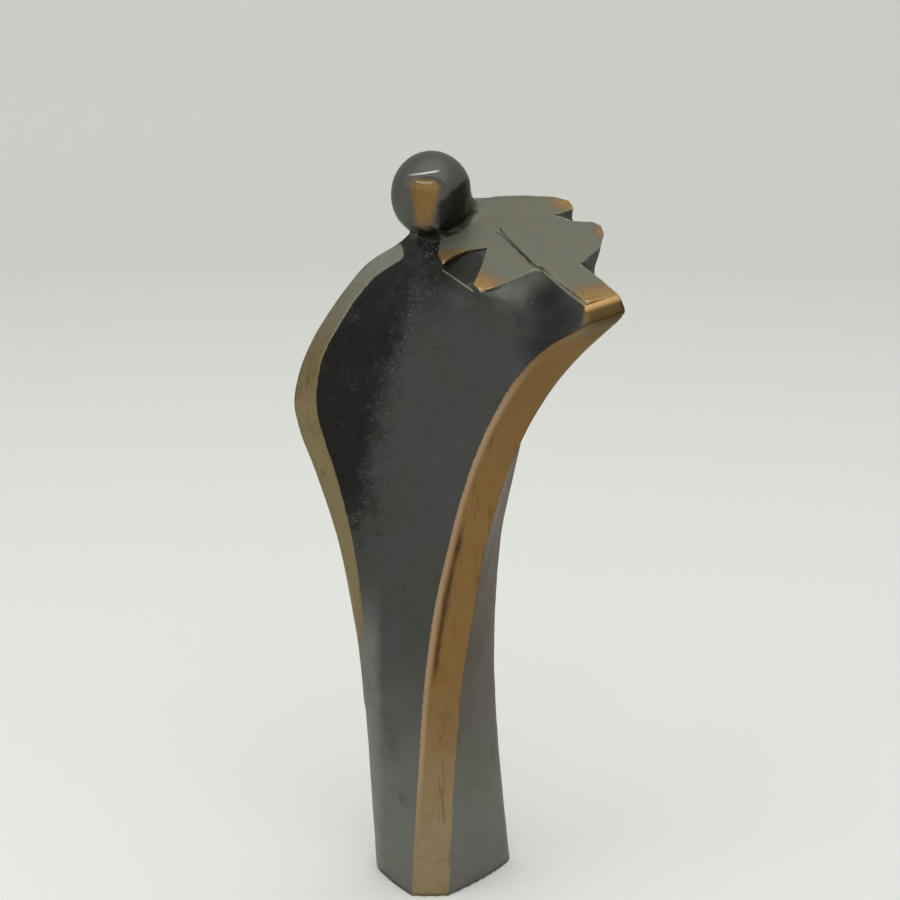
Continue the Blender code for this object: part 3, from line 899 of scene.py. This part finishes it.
fineRelief = {
    "pitSize": 0.9 * mm,
    "pits": (0.0, 0.45),
    "pitsBlack": (0.35, 1),        # deeper where the patina is black
    "fineShare": 0.8,
    "fileStretch": (1, 1, 0.10),
    "strength": 0.4,
    "distance": 0.12 * mm,
}


def addFineRelief(here, ground):
    # relief too fine for the mesh: cast pits, and on bare metal the lines left by the file
    pits = here.place.node("ShaderNodeTexVoronoi", None,
                           {"Vector": here.place, "Scale": 1 / fineRelief["pitSize"]}, "Distance")
    grain = pits.ease(fineRelief["pits"]) * here.black.between(*fineRelief["pitsBlack"])
    grain = grain + here.fine * fineRelief["fineShare"]
    lines = here.place.stretch(fineRelief["fileStretch"]).noise(*noises["fileLines"])
    return ground.node("ShaderNodeBump", None, {
        "Strength": fineRelief["strength"], "Distance": fineRelief["distance"], "Height": ground.between(grain, lines)})


def makeBronze():
    print("stage: bronze")
    material = bpy.data.materials.new("patinated_ground_bronze")
    material.use_nodes = True
    tree = material.node_tree
    shader = tree.nodes["Principled BSDF"]
    here = readSurface(tree)
    here.strip, here.shoulder = findBands(here)
    here.tips, here.nose = findTips(here)
    here.face, here.faceTop = findFace(here)
    here.black, here.pitted = findPaintedDarkness(here)
    ground = here.strip.larger(here.shoulder).larger(here.tips).larger(here.face)
    colour = ground.tint(mixPatina(here), mixMetal(here))
    # rubbed metal with a painted highlight along the rims
    colour = (findWearAndHighlights(here) * rimLines["share"]).tint(colour, finish["wearAndHighlightColour"])
    # painted highlights along the brow and over the face
    colour = findBrowHighlights(here).tint(colour, finish["browHighlightColour"])
    patinaRough = here.middling.between(*finish["patinaGloss"])
    groundRough = here.fine.between(*finish["groundGloss"])
    made = {
        "Base Color": colour,
        "Roughness": ground.between(patinaRough, groundRough),
        "Metallic": ground.between(finish["patinaMetal"], 1),
        "Normal": addFineRelief(here, ground),
    }
    for name, value in made.items():
        tree.links.new(value.socket, shader.inputs[name])
    shader.inputs["Specular IOR Level"].default_value = finish["specular"]
    shader.inputs["Specular Tint"].default_value = (*finish["specularTint"], 1)
    return material


# Camera, light and floor

camera = {
    "place": (3.03 * mm, -478.7 * mm, 285 * mm),
    "pitch": math.radians(74),
    "lens": 64,
    "sensor": 36,
}
softboxes = [
    {"name": "overhead", "place": (0.05, -0.4, 1.15), "aim": (0, -0.25, 0), "size": 1.3, "power": 6},
    {"name": "leftFill", "place": (-1.2, -0.6, 0.7), "aim": (0, 0, 0.12), "size": 0.9, "power": 3},
]
room = {"colour": (0.96, 0.975, 0.94), "strength": 0.72}
studio = {
    "radius": 1.3,
    "corners": 96,
    "rise": [(0.22, 0.05), (0.20, 0.16), (0.12, 0.26), (0.04, 0.5)],   # out and up, step by step
    "colour": (0.80, 0.81, 0.785),
    "roughness": 0.85,
}


def addCamera():
    print("stage: camera")
    data = bpy.data.cameras.new("camera")
    data.lens = camera["lens"]
    data.sensor_width = camera["sensor"]
    made = bpy.data.objects.new("camera", data)
    made.location = camera["place"]
    made.rotation_euler = (camera["pitch"], 0, 0)
    bpy.context.scene.collection.objects.link(made)
    bpy.context.scene.camera = made


def addLights():
    print("stage: lights")
    for box in softboxes:
        data = bpy.data.lights.new(box["name"], "AREA")
        data.size = box["size"]
        data.energy = box["power"]
        made = bpy.data.objects.new(box["name"], data)
        made.location = box["place"]
        made.rotation_euler = (Vector(box["aim"]) - made.location).to_track_quat("-Z", "Y").to_euler()
        bpy.context.scene.collection.objects.link(made)
    world = bpy.data.worlds.new("room")
    world.use_nodes = True
    background = world.node_tree.nodes["Background"]
    background.inputs["Color"].default_value = (*room["colour"], 1)
    background.inputs["Strength"].default_value = room["strength"]
    bpy.context.scene.world = world
    bpy.context.scene.view_settings.view_transform = "Standard"


def addFloor():
    # a round floor whose rim rises all round into a backdrop
    print("stage: floor")
    deselectAll()
    bpy.ops.mesh.primitive_circle_add(vertices=studio["corners"], radius=studio["radius"], fill_type="NGON")
    floor = bpy.context.object
    floor.name = "studio_floor"
    bpy.ops.object.mode_set(mode="EDIT")
    radius = studio["radius"]
    height = 0
    for out, up in studio["rise"]:
        pick(floor, "EDGE", lambda edge: edge.is_boundary)
        bpy.ops.mesh.extrude_region_move(TRANSFORM_OT_translate={"value": (0, 0, up)})
        bpy.ops.transform.resize(value=((radius + out) / radius, (radius + out) / radius, 1),
                                 center_override=(0, 0, height + up))
        radius += out
        height += up
    bpy.ops.object.mode_set(mode="OBJECT")
    bpy.ops.object.shade_smooth()
    material = bpy.data.materials.new("pale_floor")
    material.use_nodes = True
    shader = material.node_tree.nodes["Principled BSDF"]
    shader.inputs["Base Color"].default_value = (*studio["colour"], 1)
    shader.inputs["Roughness"].default_value = studio["roughness"]
    floor.data.materials.append(material)


piece = copyCasting()
squareUp(piece)
tagBands(piece)
softenFolds(piece)
creaseEdges(piece)
refine(piece)
readMasks(piece)
addRelief(piece)
piece.data.materials.append(makeBronze())
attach(piece, "root")
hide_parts(casting["node"])
addFloor()
addCamera()
addLights()
